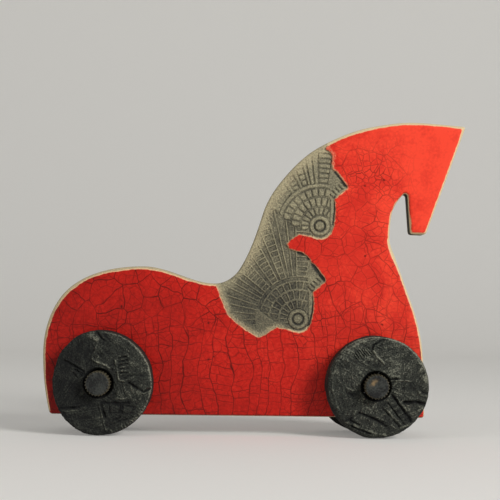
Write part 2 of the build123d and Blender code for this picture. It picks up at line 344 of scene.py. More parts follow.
def slab_outline():
    """The outline as a closed line: the runs cut back at each corner and bridged there by a parabola."""
    step = 0.2
    runs = [evenly(smooth_run(run), step) for run in (BACK, FACE, MUZZLE, THROAT, BELLY)]
    cut = int(CORNER / step)
    share = np.linspace(0, 1, 14)[1:-1, None]
    line = []
    for run, following in zip(runs, runs[1:] + runs[:1]):
        peak = 2 * share * (1 - share) * run[-1]
        bridge = (1 - share) ** 2 * run[-cut] + peak + share ** 2 * following[cut]
        line += [run[cut:-cut], bridge]
    return evenly(closed(np.concatenate(line)), step=0.5)[:-1]


def inward(loop):
    """Unit vectors that point into a clockwise closed line, square to its run from neighbour to neighbour."""
    run = np.roll(loop, -1, axis=0) - np.roll(loop, 1, axis=0)
    return np.stack((run[:, 1], -run[:, 0]), 1) / np.linalg.norm(run, axis=1, keepdims=True)


def rim_depth(from_edge):
    """Depth of the clay's face: flat, and a quarter circle down within the rim's radius of the edge."""
    out = RIM_RADIUS - np.minimum(from_edge, RIM_RADIUS)
    return FACE_DEPTH - RIM_RADIUS + np.sqrt(RIM_RADIUS ** 2 - out ** 2)


def mane_line():
    """The glaze line round the mane: its places joined in order, with small corners cut and a ragged run."""
    lower, upper = (np.add(PRINT_LINE, ring) for ring in (LOWER_RING, UPPER_RING))
    line = evenly(np.concatenate((PATCH_LINE, lower, TONGUE_LINE, upper, TOP_LINE)), step=0.7)
    for _ in range(2):
        near, far = 0.75 * line[:-1] + 0.25 * line[1:], 0.25 * line[:-1] + 0.75 * line[1:]
        line = np.concatenate((line[:1], np.stack((near, far), 1).reshape(-1, 2), line[-1:]))
    line = evenly(line, step=0.3)
    ragged = [unevenness(line[:, 0] + 40 * axis, line[:, 1], 1.3, 11 + axis) for axis in (0, 1)]
    return line + 0.16 * np.stack(ragged, 1)


def axle_holes(radius):
    """Closed lines round the two axles: points of a circle, clockwise."""
    turn = -np.arange(HOLE_SIDES) * 2 * pi / HOLE_SIDES
    across, up = radius * np.cos(turn), AXLE_HEIGHT + radius * np.sin(turn)
    return [np.stack((axle + across, up), 1) for axle in AXLES.values()]


def filled(borders, rows, spacing, fine=None, fine_spacing=None):
    """Points and triangles of a flat region, with the first border round it and the others round its holes.

    Rows of points follow each border at the given depths, and a staggered lattice fills the middle, with a
    closer one in the fine region. A Delaunay triangulation that keeps the borders joins them.
    """
    def held(places):
        in_hole = np.any([inside(places, hole) for hole in borders[1:]], axis=0)
        return inside(places, borders[0]) & ~in_hole

    def lattice(step):
        across, up = np.meshgrid(*(np.arange(*ends, step) for ends in zip(edge.min(0), edge.max(0))))
        across = across + step / 2 * (np.arange(len(across)) % 2)[:, None]
        return np.stack((across.ravel(), up.ravel()), 1)

    edge = np.concatenate(borders)
    sides = [1] + [-1] * (len(borders) - 1)
    rims = [border + side * inward(border) * row for side, border in zip(sides, borders) for row in rows]
    depths = np.concatenate([np.full(len(border), row) for border in borders for row in rows])
    middle = lattice(spacing)
    if fine is not None:
        dots = lattice(fine_spacing)
        middle = np.concatenate((middle[~inside(middle, fine)], dots[inside(dots, fine)]))
    extra = np.concatenate((*rims, middle))
    room = np.min([distance_to(extra, closed(border)) for border in borders], axis=0)
    margin = rows[-1] + 0.4 * min(spacing, fine_spacing or spacing)
    keep = held(extra) & (room > np.concatenate((0.93 * depths, np.full(len(middle), margin))))
    points = np.concatenate((edge, extra[keep]))
    ends = np.cumsum([len(border) for border in borders])
    following = np.arange(len(edge)) + 1
    following[ends - 1] = np.concatenate(([0], ends[:-1]))
    links = list(enumerate(following.tolist()))
    made = delaunay_2d_cdt([Vector(point) for point in points.tolist()], links, [], 0, 1e-5, False)
    points, corners = np.array([tuple(point) for point in made[0]]), np.array(made[2])
    corners = corners[held(points[corners].mean(1))]
    arms = points[corners[:, 1:]] - points[corners[:, :1]]
    turned = arms[:, 0, 0] * arms[:, 1, 1] < arms[:, 0, 1] * arms[:, 1, 0]
    corners[turned] = corners[turned, ::-1]
    return points, corners


def sheet(points, corners, near, far, wall_rows):
    """Closed solid over a flat region: a near and a far face at their own depths, with walls between them.

    Gives the vertices, the faces, and for each vertex which point of the region it stands on.
    """
    count = len(points)
    edges = np.concatenate((corners[:, :2], corners[:, 1:], corners[:, ::-2]))
    forward, backward = edges[:, 0] * count + edges[:, 1], edges[:, 1] * count + edges[:, 0]
    border = edges[~np.isin(forward, backward)]
    rim = np.unique(border)
    place = np.zeros(count, int)
    place[rim] = np.arange(len(rim))
    share = np.linspace(0, 1, wall_rows + 2)[1:-1, None]
    depth = np.concatenate((near, far, (near[rim] * (1 - share) + far[rim] * share).ravel()))
    stands_on = np.concatenate((np.arange(count), np.arange(count), np.tile(rim, wall_rows)))
    vertices = np.stack((points[stands_on, 0], depth, points[stands_on, 1]), 1)
    steps = [2 * count + row * len(rim) + place[border] for row in range(wall_rows)]
    ladder = [border, *steps, count + border]
    walls = [np.concatenate((upper[:, ::-1], lower), 1) for upper, lower in zip(ladder, ladder[1:])]
    faces = corners.tolist() + (count + corners[:, ::-1]).tolist() + np.concatenate(walls).tolist()
    return vertices, faces, stands_on


def ring_faces(rows, columns, is_closed):
    """Quads of a grid whose columns run round, and whose last row joins the first if it is closed."""
    index = np.arange(rows * columns).reshape(rows, columns)
    below = np.roll(index, -1, 0)
    quads = np.stack((index, np.roll(index, -1, 1), np.roll(below, -1, 1), below), -1)
    return quads[:rows if is_closed else -1].reshape(-1, 4)


def place_piece(name, vertices, faces, material, body, slot, stands_for, **marks):
    """Makes a smooth piece from millimetres, with its marks as attributes, and joins it to the frame."""
    mesh = bpy.data.meshes.new(name)
    mesh.from_pydata((vertices * MM).tolist(), [], faces)
    mesh.shade_smooth()
    for mark, values in marks.items():
        mesh.attributes.new(mark, "FLOAT", "POINT").data.foreach_set("value", values.astype(np.float32))
    mesh.materials.append(material)
    piece = bpy.data.objects.new(name, mesh)
    bpy.context.scene.collection.objects.link(piece)
    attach(piece, body)
    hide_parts(stands_for)


def feed(made, inputs):
    """Gives inputs of a node, named or in the order of its sockets, a value or a link from an output."""
    for name, value in inputs.items() if isinstance(inputs, dict) else enumerate(inputs):
        if isinstance(value, bpy.types.NodeSocket):
            made.id_data.links.new(value, made.inputs[name])
        else:
            made.inputs[name].default_value = value


def node(tree, kind, inputs=(), output=0, **settings):
    """Adds a shader node with its settings and links, and gives one of its outputs."""
    made = tree.nodes.new(f"ShaderNode{kind}")
    for name, value in settings.items():
        setattr(made, name, value)
    feed(made, inputs)
    return made.outputs[output]


def new_material(name):
    """An empty material of that name, with its node tree and its shader."""
    material = bpy.data.materials.new(name)
    material.use_nodes = True
    return material, material.node_tree, material.node_tree.nodes["Principled BSDF"]


def fan_foot(across):
    """Lower edge of a print's fan: level under its ring, and rising with the square of the way behind it."""
    return -2.9 + 0.033 * (np.minimum(across, -3) + 3) ** 2


def stamped_print(across, up, line, cushion, bank, ring_groove):
    """Height, from 0 in a groove to 1 on a ridge, of one print of the mane block about its ring.

    Rings and spokes about the centre rule the block into cells: three bands of bars in the fan, a plain arch,
    and rays outside it. By the distance to its nearest side, a cell falls from a thin line to a groove and
    rises over its bank to a cushion. At the fan's straight side stand a plain strip and a barb with slits.
    """
    reach, turn = np.hypot(across, up), np.degrees(np.arctan2(up, across)) % 360
    foot = fan_foot(across)

    def cell(from_spoke, along):
        side = np.minimum(from_spoke * pi / 180 * reach, along)
        return line * (1 - rise(side, 0.1, 0.5)) + cushion * rise(side, *bank)

    def from_nearest(value, pitch):
        return np.abs(value / pitch - np.round(value / pitch)) * pitch

    sides, rungs = np.transpose(RAYS).astype(float)
    ray = np.clip(np.searchsorted(sides, turn) - 1, 0, len(sides) - 2)
    from_rung = from_nearest(reach - FAN_REACH, rungs[ray]) + 9 * (rungs[ray] == PLAIN)
    rays = (reach > FAN_REACH - 0.1) & (turn > sides[0]) & (turn < sides[-1])
    height = np.where(rays, cell(np.minimum(turn - sides[ray], sides[ray + 1] - turn), from_rung), LEVEL)
    fan = (across < FAN_SIDE) & (up > foot)
    for inner, outer, pitch in FAN_BANDS:
        band = fan & (reach >= inner) & (reach < outer)
        from_spoke = from_nearest(turn - FAN_START, pitch)
        height = np.where(band, cell(from_spoke, np.minimum(reach - inner, outer - reach)), height)
    height = np.minimum(height, 1 - (reach < FAN_REACH) * (1 - rise(np.abs(up - foot), 0.1, 0.6)))
    strip = (across >= FAN_SIDE) & (up < 13.5)
    height = np.where(strip, rise(across, FAN_SIDE, 5.2) * 0.95, height)
    beyond, above = across - BARB[0], up - BARB[1]
    along_barb, into_barb = (beyond + above) * 0.707, (above - beyond) * 0.707
    slit = (1 - rise(from_nearest(along_barb, SLIT_PITCH), 0.25, 0.5)) * rise(into_barb, 0.3, 0.7)
    barb = (across > FAN_SIDE) & (up > 12) & (into_barb < 3.4)
    height = np.where(barb, 0.9 - 0.85 * slit, height)
    ring = rise(reach, 2.6, 3.2) * (1 - rise(reach, 4.3, 4.8)) + 0.85 * (1 - rise(reach, 1.8, 2.3))
    ring -= ring_groove * bell(reach - 2.5, 0.45)
    return np.where(reach < RING_REACH, ring, height)


def mane_relief(points, from_crest, from_patch):
    """Height of the stamped mane: the upper print over the lower, worn towards the crest and the patch."""
    lower, upper = points - LOWER_RING, points - UPPER_RING
    reach, turn = np.hypot(*upper.T), np.degrees(np.arctan2(upper[:, 1], upper[:, 0])) % 360
    above = (upper[:, 1] > fan_foot(upper[:, 0])) | (reach < RING_REACH + 0.1)
    upper_print = stamped_print(*upper.T, 0.0, 0.95, (0.15, 0.55), 0.8)
    lower_print = stamped_print(*lower.T, 1.0, 0.3, (0.4, 1.0), 0.3)
    height = np.where(above, upper_print, lower_print)
    wear = (0.25 + 0.75 * rise(from_crest, 0.8, 5.0)) * rise(from_patch, 1.6, 4.5)
    wear = wear * np.where(above & (reach > FAN_REACH), 1 - 0.75 * rise(turn, 120, 150), 1)
    wear = wear * (0.95 + 0.25 * unevenness(*points.T, 5.0, 23))
    patchy = unevenness(*points.T, 4.0, 21) * 0.12 + unevenness(*points.T, 1.1, 22) * 0.12
    return np.clip(LEVEL + (height - LEVEL) * wear + patchy, -0.7, 1.1)


def wheel_marks(across, up, strokes, hatches, blocks):
    """Height of the marks on a wheel's face: bells along lines, and plates that are highest at their edges.

    Each place is first moved by smooth random steps, so that lines and edges waver as they do in torn clay.
    """
    points = np.stack((across.ravel(), up.ravel()), 1)
    points = points + 0.25 * np.stack([unevenness(*points.T, 2.6, 91 + axis) for axis in (0, 1)], 1)
    bars = [
        (lift, width, (foot, np.add(foot, bar)))
        for lift, width, first, last, bar, count in hatches
        for foot in np.linspace(first, last, count)
    ]
    height = np.zeros(len(points))
    for lift, width, line in (*strokes, *bars):
        height += lift * bell(distance_to(points, line), width)
    for lift, outline in blocks:
        loop = np.asarray(outline, float)
        edge = distance_to(points, closed(loop))
        plate = rise(edge, 0, 0.45) * (1 - 0.5 * rise(edge, 0.5, 6.0))
        height += lift * np.where(inside(points, loop), plate, 0)
    return height.reshape(across.shape)


def wheel_section(bevel):
    """Reach and depth along a wheel's section: the bore, its mouth, the face, the tread and the back.

    Rows follow the section, and columns go round the wheel. The face falls to the tread along a quarter
    circle, as wide as the bevel is there, and the tread turns into the back along another.
    """
    mouth = np.linspace(0, 1, 6)[:-1, None]
    flat = np.linspace(MOUTH_RADIUS, WHEEL_RADIUS - SHOULDER, 60)
    shoulder = WHEEL_RADIUS - SHOULDER * (1 - np.sin(np.radians(np.linspace(0, 90, 19)[1:])))
    face = np.concatenate((flat, shoulder))[:, None]
    share = np.clip((face - WHEEL_RADIUS + bevel) / bevel, 0, 1)
    face_depth = WHEEL_OUTER - bevel * (1 - np.sqrt(1 - share ** 2))
    tread = np.linspace(0, 1, 10)[1:, None]
    tread_depth = face_depth[-1] * (1 - tread) + (WHEEL_INNER + WHEEL_EDGE) * tread
    bend = np.radians(np.linspace(0, 90, 7)[:-1, None])
    back = np.array((20.0, 14.0, 8.0))[:, None]
    rows = (
        (np.full((2, 1), BORE_RADIUS), np.array((WHEEL_INNER, 15.0))[:, None]),
        (BORE_RADIUS + (MOUTH_RADIUS - BORE_RADIUS) * mouth, WHEEL_OUTER - MOUTH_DEPTH * (1 - mouth)),
        (face, face_depth),
        (np.full(tread.shape, WHEEL_RADIUS), tread_depth),
        (WHEEL_RADIUS - WHEEL_EDGE * (1 - np.cos(bend)), WHEEL_INNER + WHEEL_EDGE * (1 - np.sin(bend))),
        (back, np.full(back.shape, WHEEL_INNER)),
    )
    return np.concatenate([row[0] for row in rows]), np.concatenate([row[1] + 0 * bevel for row in rows])


def raku_red_crackle_glaze(glaze):
    """Red raku glaze: satin gloss, crackled as it cooled, with smoke drawn dark into the cracks.

    The eye sees upright cracks with level ones between them low on the body, wide cells above, a finer net
    in both, a close net on the forehead and behind the front wheel, and hardly any cracks towards the nose.
    Behind the front wheel the close net is darkest where the wheel casts its shadow: partly painted shadow.
    There are pinholes, the red goes from deep on the rump to bright on the head, partly as painted light
    falloff, it is darker towards the bottom as painted shade, and its thin edge is cream.
    """
    material, tree, shader = new_material("raku_red_crackle_glaze")
    place = node(tree, "TexCoord", output="Object")
    x, y, z = node(tree, "SeparateXYZ", [place]).node.outputs

    # A slow and a quick noise bend the cracks, and each face has a part of the pattern for itself
    bent, shifts = place, []
    for size, detail, sweep in ((22 * MM, 1.5, 9 * MM), (4 * MM, 1.0, 1.4 * MM)):
        noise = node(tree, "TexNoise", {"Vector": place, "Scale": 1 / size, "Detail": detail}, "Color")
        shifts.append(node(tree, "VectorMath", [noise, (0.5, 0.5, 0.5)], operation="SUBTRACT"))
        bent = node(tree, "VectorMath", [shifts[-1], (sweep, 0, sweep), bent], operation="MULTIPLY_ADD")
    bent_x, _, bent_z = node(tree, "SeparateXYZ", [bent]).node.outputs
    side = node(tree, "Math", [y], operation="SIGN")
    across = node(tree, "Math", [side, 437 * MM, bent_x], operation="MULTIPLY_ADD")
    even = node(tree, "CombineXYZ", [across, bent_z])
    drift = node(tree, "SeparateXYZ", [shifts[0]], "X")
    sway = node(tree, "Math", [drift, 6 * MM, across], operation="MULTIPLY_ADD")

    # How dark each kind of crack is from place to place
    forward = node(tree, "Math", [z, 0.35, x], operation="MULTIPLY_ADD")
    neck = node(tree, "MapRange", [forward, 36 * MM, 78 * MM])
    wide_smoke = node(tree, "MapRange", [neck, 0, 1, glaze.crackle_smoke, 0.62 * glaze.crackle_smoke])
    wide_smoke = node(tree, "MapRange", [bent_z, 34 * MM, 50 * MM, 0, wide_smoke])
    upright_smoke, level_smoke = (
        node(tree, "MapRange", [bent_z, 48 * MM, 66 * MM, most, 0]) for most in (0.95, 0.8)
    )
    flat = node(tree, "VectorMath", [place, (1, 0, 1)], operation="MULTIPLY")
    # The close net behind the front wheel darkens the glaze where the wheel's shadow falls: painted shadow
    forehead, behind_wheel = (0.055, 0, 0.121), (0.031, 0, 0.017)
    close = []
    for centre, least, most in ((forehead, 5 * MM, 17 * MM), (behind_wheel, 6 * MM, 16 * MM)):
        gap = node(tree, "VectorMath", [flat, centre], "Value", operation="DISTANCE")
        close.append(node(tree, "MapRange", [gap, least, most, 0.92, 0.1]))
    close_smoke_and_shadow = node(tree, "Math", close, operation="MAXIMUM")
    middle_smoke = node(tree, "MapRange", [close_smoke_and_shadow, 0.1, 0.7, 0.5, 0.1])

    # Each column between upright cracks has its own level ones, and each wide cell its own two finer nets
    wide, upright = 1.1 * glaze.crackle_size, 0.8 * glaze.crackle_size
    column = node(tree, "TexVoronoi", {"W": sway, "Scale": 1 / upright}, "Color", voronoi_dimensions="1D")
    levels = node(tree, "Math", [column, 6 * MM, bent_z], operation="MULTIPLY_ADD")
    cell = node(tree, "TexVoronoi", {"Vector": even, "Scale": 1 / wide}, "Color", voronoi_dimensions="2D")
    finer = node(tree, "VectorMath", [cell, (1, 1, 0), even], operation="MULTIPLY_ADD")
    faint = node(tree, "TexNoise", {"Vector": place, "Scale": 1 / (10 * MM), "Detail": 2.0})
    crack = 0.0
    for pattern, spacing, half_width, smoke, least in (
        ({"Vector": even}, wide, 0.37 * MM, wide_smoke, 0.55),
        ({"W": sway}, upright, 0.34 * MM, upright_smoke, 0.7),
        ({"W": levels}, 0.75 * glaze.crackle_size, 0.31 * MM, level_smoke, 0.55),
        ({"Vector": finer}, 0.56 * glaze.crackle_size, 0.28 * MM, middle_smoke, 0.42),
        ({"Vector": finer}, 0.36 * glaze.crackle_size, 0.27 * MM, close_smoke_and_shadow, 0.35),
    ):
        from_crack = node(
            tree, "TexVoronoi", {**pattern, "Scale": 1 / spacing}, "Distance",
            voronoi_dimensions="1D" if "W" in pattern else "2D", feature="DISTANCE_TO_EDGE",
        )
        reach = half_width / spacing
        line = node(tree, "MapRange", [from_crack, 0, reach, smoke, 0], interpolation_type="SMOOTHSTEP")
        patchy = node(tree, "MapRange", [faint, 0.38, 0.6, least, 1])
        line = node(tree, "Math", [line, patchy], operation="MULTIPLY")
        crack = node(tree, "Math", [crack, line], operation="MAXIMUM")

    # Cracks and pinholes fade towards the nose and the brow
    nose = node(tree, "MapRange", [x, 60 * MM, 79 * MM, 1, 0])
    chest = node(tree, "MapRange", [z, 80 * MM, 92 * MM, 1, 0])
    brow = node(tree, "MapRange", [z, 127 * MM, 141 * MM, 1, 0.1])
    cracked = node(tree, "Math", [nose, chest], operation="MAXIMUM")
    cracked = node(tree, "Math", [cracked, brow], operation="MULTIPLY")
    pit = node(
        tree, "TexVoronoi", {"Vector": even, "Scale": 1 / (24 * MM)}, "Distance", voronoi_dimensions="2D"
    )
    pit = node(tree, "MapRange", [pit, 0.012, 0.03, 0.8, 0])
    dark = node(tree, "Math", [crack, pit], operation="MAXIMUM")
    dark = node(tree, "Math", [dark, cracked], operation="MULTIPLY")

    # The red brightens from the rump to the head, partly as painted light falloff, is darker towards the
    # bottom as painted shade, has clouds and specks, and thins to cream at its edge
    cloud = node(tree, "TexNoise", {"Vector": place, "Scale": 1 / (11 * MM), "Detail": 4.0})
    mottle = node(tree, "TexNoise", {"Vector": place, "Scale": 1 / (1.2 * MM), "Detail": 2.0})
    # Partly painted light falloff: the red brightens from the rump to the head
    along = node(tree, "MapRange", [forward, -120 * MM, 126 * MM])
    # Painted shade: the red is darker towards the bottom of the body
    foot = node(tree, "MapRange", [z, 10 * MM, 36 * MM, -0.36, -0.25])
    tone = node(tree, "Math", [along, foot], operation="ADD")
    tone = node(tree, "Math", [cloud, 0.5, tone], operation="MULTIPLY_ADD")
    speckle = node(tree, "MapRange", [neck, 0, 1, 0.65, 0.28])
    blot = node(tree, "Math", [mottle, 0.5], operation="SUBTRACT")
    tone = node(tree, "Math", [blot, speckle, tone], operation="MULTIPLY_ADD")
    red = node(tree, "ValToRGB", [tone])
    stops = red.node.color_ramp.elements
    stops[0].color = (*glaze.rump_red, 1)
    stops[1].color = (*glaze.head_red, 1)
    stops.new(0.5).color = (*glaze.body_red, 1)
    stops.new(0.8).color = (*glaze.neck_red, 1)
    red = node(tree, "MixRGB", [dark, red, (*glaze.crack, 1)])
    thin = node(tree, "Attribute", output="Fac", attribute_name="edge")
    thin = node(tree, "Math", [mottle, 0.8, thin], operation="MULTIPLY_ADD")
    thin = node(tree, "MapRange", [thin, 0.6, 1.25], interpolation_type="SMOOTHSTEP")
    red = node(tree, "MixRGB", [thin, red, (*glaze.thin_edge, 1)])

    ripple = node(tree, "TexNoise", {"Vector": place, "Scale": 1 / (2.5 * MM), "Detail": 2.0})
    relief = node(tree, "Math", [ripple, 0.25], operation="MULTIPLY")
    relief = node(tree, "Math", [dark, -0.15, relief], operation="MULTIPLY_ADD")
    bump = node(tree, "Bump", {"Height": relief, "Strength": 0.3, "Distance": 0.3 * MM})
    roughness = node(tree, "MapRange", [thin, 0, 1, 0.36, 0.7])
    feed(shader, {
        "Base Color": red, "Normal": bump, "Roughness": roughness, "IOR": 1.5, "Specular IOR Level": 0.18,
    })
    return material


def smoked_clay(name, dark, middle, light, pale, grit, contrast):
    """Bare raku clay, smoked after firing: dry and matt, dark in the hollows, paler on ridges and bare edges.

    The eye sees grog as grain about half a millimetre across, drawn a little coarser so that it shows, soft
    clouds of smoke, and the tone and paleness that each piece gives each place: its own marks, with painted
    light and shade.
    """
    material, tree, shader = new_material(name)
    place = node(tree, "TexCoord", output="Object")
    grain = node(tree, "TexNoise", {"Vector": place, "Scale": 1 / grit, "Detail": 3.0})
    cloud = node(tree, "TexNoise", {"Vector": place, "Scale": 1 / (7 * MM), "Detail": 3.0})
    tone = node(tree, "Attribute", output="Fac", attribute_name="tone")
    tone = node(tree, "Math", [grain, contrast, tone], operation="MULTIPLY_ADD")
    tone = node(tree, "Math", [cloud, 0.5, tone], operation="MULTIPLY_ADD")
    tone = node(tree, "Math", [tone, contrast / 2 + 0.25], operation="SUBTRACT")
    colour = node(tree, "ValToRGB", [tone])
    stops = colour.node.color_ramp.elements
    stops[0].color = (*dark, 1)
    stops[1].color = (*light, 1)
    stops.new(0.5).color = (*middle, 1)
    bare = node(tree, "Attribute", output="Fac", attribute_name="pale")
    bare = node(tree, "Math", [grain, 0.5, bare], operation="MULTIPLY_ADD")
    bare = node(tree, "MapRange", [bare, 0.35, 1.15])
    colour = node(tree, "MixRGB", [bare, colour, (*pale, 1)])
    bump = node(tree, "Bump", {"Height": grain, "Strength": 0.8, "Distance": 0.5 * MM})
    feed(shader, {"Base Color": colour, "Normal": bump, "Roughness": 0.85, "Specular IOR Level": 0.3})
    return material


def stained_beech_dowel(wood):
    """Grey-stained beech dowel: satin, with end-grain pores, paler flutes and a worn brown spot."""
    material, tree, shader = new_material("stained_beech_dowel")
    place = node(tree, "TexCoord", output="Object")
    pores = node(tree, "TexNoise", {"Vector": place, "Scale": 1 / (0.7 * MM), "Detail": 2.0})
    cloud = node(tree, "TexNoise", {"Vector": place, "Scale": 1 / (4 * MM), "Detail": 2.0})
    stain = node(tree, "Math", [pores, cloud], operation="ADD")
    stain = node(tree, "MapRange", [stain, 0.84, 1.18])
    colour = node(tree, "MixRGB", [stain, (*wood.dowel_dark, 1), (*wood.dowel_end, 1)])
    flank = node(tree, "Attribute", output="Fac", attribute_name="pale")
    colour = node(tree, "MixRGB", [flank, colour, (*wood.dowel_flank, 1)])
    rubbed = node(tree, "Attribute", output="Fac", attribute_name="rubbed")
    rubbed = node(tree, "Math", [rubbed, cloud], operation="MULTIPLY")
    colour = node(tree, "MixRGB", [rubbed, colour, (*wood.dowel_worn, 1)])
    bump = node(tree, "Bump", {"Height": pores, "Strength": 0.35, "Distance": 0.3 * MM})
    feed(shader, {"Base Color": colour, "Normal": bump, "Roughness": 0.6, "Specular IOR Level": 0.3})
    return material


class HorseClay(PropertyGroup):
    """Sizes and colours of the bare clay slab."""

    stamp_depth: FloatProperty(
        name="Stamp Depth", description="Depth of the mane's prints",
        default=0.6 * MM, min=0, max=1.2 * MM, unit="LENGTH",
    )
    hollow: paint("Hollows", "Smoked clay in the prints", "#363530")
    bare: paint("Bare Clay", "Smoked clay of the mane", "#6E6956")
    ridge: paint("Ridges", "Worn clay on the prints' ridges", "#A79F80")
    rim: paint("Rim", "Pale clay of the bare rim", "#DCC9A0")


class HorseGlaze(PropertyGroup):
    """Sizes and colours of the glaze."""

    thickness: FloatProperty(
        name="Thickness", description="Thickness of the glaze on each face",
        default=0.8 * MM, min=0.3 * MM, max=1.5 * MM, unit="LENGTH",
    )
    crackle_size: FloatProperty(
        name="Crackle Size", description="Width of a cell, from which those of each net are worked out",
        default=8 * MM, min=3 * MM, max=30 * MM, unit="LENGTH",
    )
    crackle_smoke: FloatProperty(
        name="Crackle Smoke", description="Darkness of the wide cracks",
        default=0.95, min=0, max=1, subtype="FACTOR",
    )
    # The rump's deep red and the head's bright red are partly the glaze's own colour and partly painted light
    # falloff from the head to the rump
    rump_red: paint("Rump Red", "Thick glaze on the rump", "#8E140E")
    body_red: paint("Body Red", "Glaze on the body", "#C42117")
    neck_red: paint("Neck Red", "Glaze on the neck and the chest", "#DC3122")
    head_red: paint("Head Red", "Thin glaze on the head", "#FB4830")
    crack: paint("Cracks", "Smoke in the cracks", "#3C0E0A")
    thin_edge: paint("Thin Edge", "Cream edge of the glaze", "#F4CB9B")


class HorseWheels(PropertyGroup):
    """Sizes and colours of the wheels and their dowels."""

    wear: FloatProperty(
        name="Tread Wear", description="Unevenness of the treads",
        default=0.4 * MM, min=0, max=1.5 * MM, unit="LENGTH",
    )
    black: paint("Black Clay", "Smoke-blackened clay", "#0D0E0D")
    charcoal: paint("Charcoal", "Clay of the wheels' faces", "#34362F")
    # Worn Ridges is also the colour that the painted light on each wheel's lit side and edge reaches
    worn: paint("Worn Ridges", "Rubbed marks and rims", "#838373")
    dowel_dark: paint("Dowel Pores", "Pores of the dowels' ends", "#111211")
    dowel_end: paint("Dowel Ends", "Stained ends of the dowels", "#363834")
    dowel_flank: paint("Dowel Flutes", "Fluted sides of the dowels", "#57503E")
    dowel_worn: paint("Dowel Wear", "Rubbed spot on the front dowel's ends", "#987C54")


class HorseStage(PropertyGroup):
    """Floor, lights and camera."""

    floor: paint("Floor", "Paper floor and backdrop", "#DCDAD5")
    key: FloatProperty(
        name="Key Light", description="Power of the key light", default=18.0, min=0, unit="POWER"
    )
    fill: FloatProperty(
        name="Fill Light", description="Power of the fill light", default=4.0, min=0, unit="POWER"
    )
    lens: FloatProperty(
        name="Lens", description="Camera's focal length", default=112.0, min=20, unit="CAMERA"
    )


class RAKUHORSE_OT_clay_slab(Operator):
    """Makes the clay slab with its rounded rim, axle holes and stamped mane"""

    bl_idname = "rakuhorse.clay_slab"
    bl_label = "Clay Slab"

    def execute(self, context):
        clay = context.scene.raku_horse_clay
        outline, mane = slab_outline(), mane_line()
        dip, top = nearest_index(outline, mane[0]), nearest_index(outline, mane[-1])
        bare_area = np.concatenate((mane, outline[dip:top][::-1]))
        rows = RIM_RADIUS * (1 - np.cos(np.radians((24, 42, 60, 76, 90))))
        borders = [outline, *axle_holes(HOLE_RADIUS)]
        points, corners = filled(borders, rows, SLAB_SPACING, bare_area, MANE_SPACING)

        from_edge, from_glaze = distance_to(points, closed(outline)), distance_to(points, mane)
        from_patch = distance_to(points, mane[:len(mane) // 4])
        in_mane = inside(points, bare_area) | (from_glaze < 0.3)
        relief = mane_relief(points, from_edge, from_patch)
        depth = rim_depth(from_edge)
        depth -= np.where(in_mane, clay.stamp_depth / MM * (1 - relief) * rise(from_edge, 0.2, 1.5), 0)
        depth += 0.05 * unevenness(*points.T, 2.0, 31)
        vertices, faces, stands_on = sheet(points, corners, -depth, depth, wall_rows=5)

        # Tone of the mane: its relief, the worn crest, smoke about the lower print, painted shadow lines
        # where the glaze's step shades the clay
        crest = rise(points[:, 1], 58, 86)
        worn = 1 - rise(from_edge, 1.0, 9.0)
        smoke = 1 - rise(np.hypot(*(points - SMOKE_CENTRE).T), 8, 22)
        # painted shadow: dark lines on the clay along the glaze's step, which also take away paleness there
        gap = np.max([bell(distance_to(points, line), width) for width, line in PAINTED_GLAZE_SHADOWS], axis=0)
        tone = 0.53 + 0.48 * (relief - 0.7) + 0.12 * crest + 0.16 * worn - 0.14 * smoke
        tone = np.where(in_mane, tone - 1.3 * gap + 0.2 - 0.2 * rise(from_patch, 0.5, 3.0), 0.45)

        # Paleness: a halo along the glaze, a painted highlight on the lit lower lip under each ring, the worn
        # crest, the rim outside the mane
        halo_and_highlight = np.maximum(0.3 - 0.3 * rise(from_patch, 0.5, 2.7), 0.3 - 0.3 * rise(from_glaze, 0.1, 0.8))
        lip_highlights = [distance_to(points, np.add(PRINT_LINE[1:6], ring)) for ring in (LOWER_RING, UPPER_RING)]
        halo_and_highlight = np.maximum(halo_and_highlight, 0.9 * bell(np.min(lip_highlights, axis=0), 0.55))
        rim = 0.95 - 0.35 * (1 - rise(points[:, 0], -30, 0))
        pale = np.where(in_mane, np.maximum(halo_and_highlight, 0.3 * worn * crest) * (1 - gap), rim)

        on_wall = np.abs(vertices[:, 1]) < FACE_DEPTH - RIM_RADIUS - 0.4
        wall = 0.12 + 0.1 * unevenness(vertices[:, 0], vertices[:, 2], 9.0, 32)
        tone = np.where(on_wall, wall, tone[stands_on])
        pale = np.where(on_wall, 0.0, pale[stands_on])
        material = smoked_clay(
            "smoked_raku_clay", clay.hollow, clay.bare, clay.ridge, clay.rim, 0.7 * MM, 1.2
        )
        place_piece(
            "clay_slab", vertices, faces, material, "horse", "smoked_clay_body", "body_slab",
            tone=tone, pale=pale,
        )
        return {"FINISHED"}


